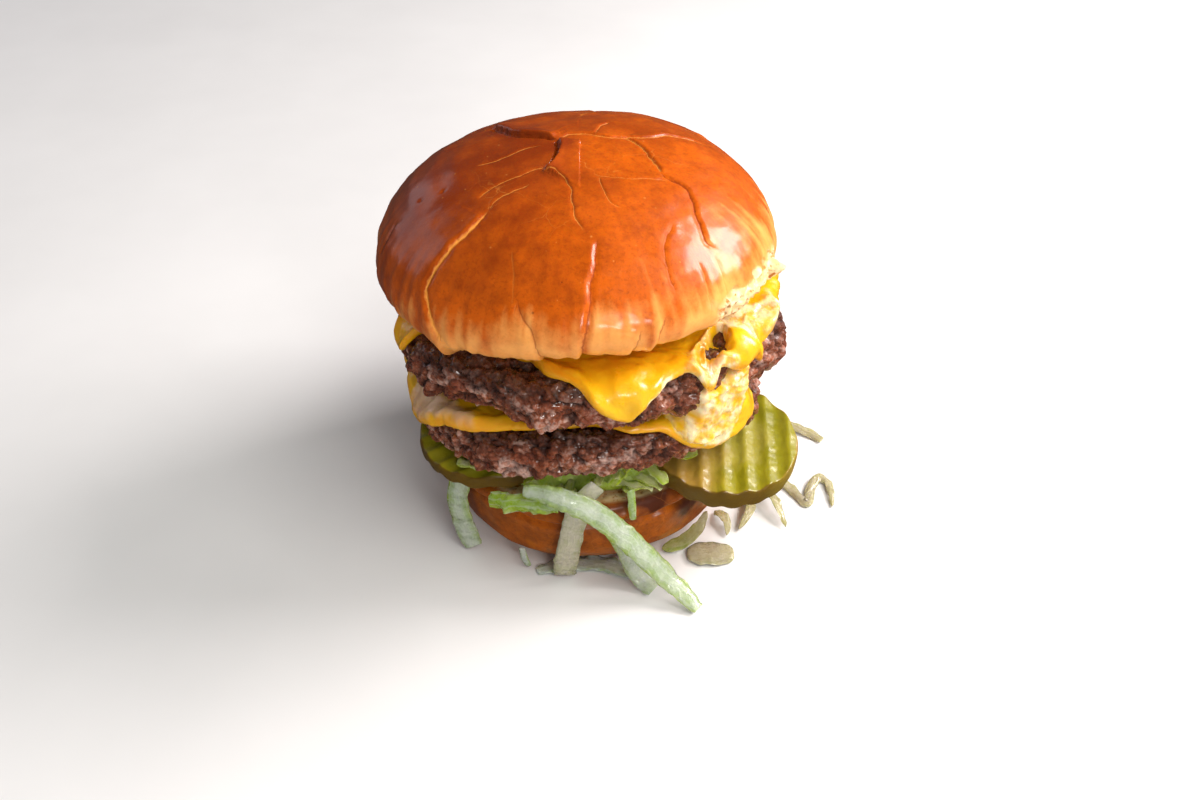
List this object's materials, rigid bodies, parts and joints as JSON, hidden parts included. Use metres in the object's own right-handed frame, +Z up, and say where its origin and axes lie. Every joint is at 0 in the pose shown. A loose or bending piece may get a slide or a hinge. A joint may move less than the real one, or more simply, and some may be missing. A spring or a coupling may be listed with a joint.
{
  "type": "double cheeseburger",
  "caption": "Stacked cheeseburger: domed glossy bun crown, beef patties with draped melted cheese, crinkle-cut pickle chips, shredded lettuce hanging out, and a flat-footed heel.",
  "frame": {"origin": "centre of the heel's flat foot, on the surface the burger stands on", "axes": "+Z up through the stack; -Y is the front, where the upper slice's cheese tongue hangs; +X is to the right, where the larger pickle chip sticks out"},
  "size_m": [0.1295, 0.1158, 0.1095],
  "materials": {
    "bun_crust": "baked, egg-washed, glossy",
    "beef": "seared, moist",
    "cheese": "melted, glossy",
    "pickle": "wet, translucent",
    "lettuce": "crisp, wet"
  },
  "bodies": {
    "root": {"bun_crown": "bun_crust", "bun_heel": "bun_crust", "cheese_lower": "cheese", "cheese_upper": "cheese", "lettuce_bed": "lettuce", "patty_lower": "beef", "patty_upper": "beef", "pickle_front": "pickle", "pickle_left": "pickle", "strip_bit": "lettuce", "strip_fan": "lettuce", "strip_fork_left": "lettuce", "strip_fork_right": "lettuce", "strip_left": "lettuce", "strip_long": "lettuce", "strip_pointed": "lettuce", "strip_rib": "lettuce", "strip_ruffle": "lettuce", "strip_second": "lettuce", "strip_short": "lettuce", "strip_squiggle": "lettuce", "strip_stub": "lettuce", "strip_thin": "lettuce", "strip_underfoot": "lettuce"}
  },
  "joints": []
}
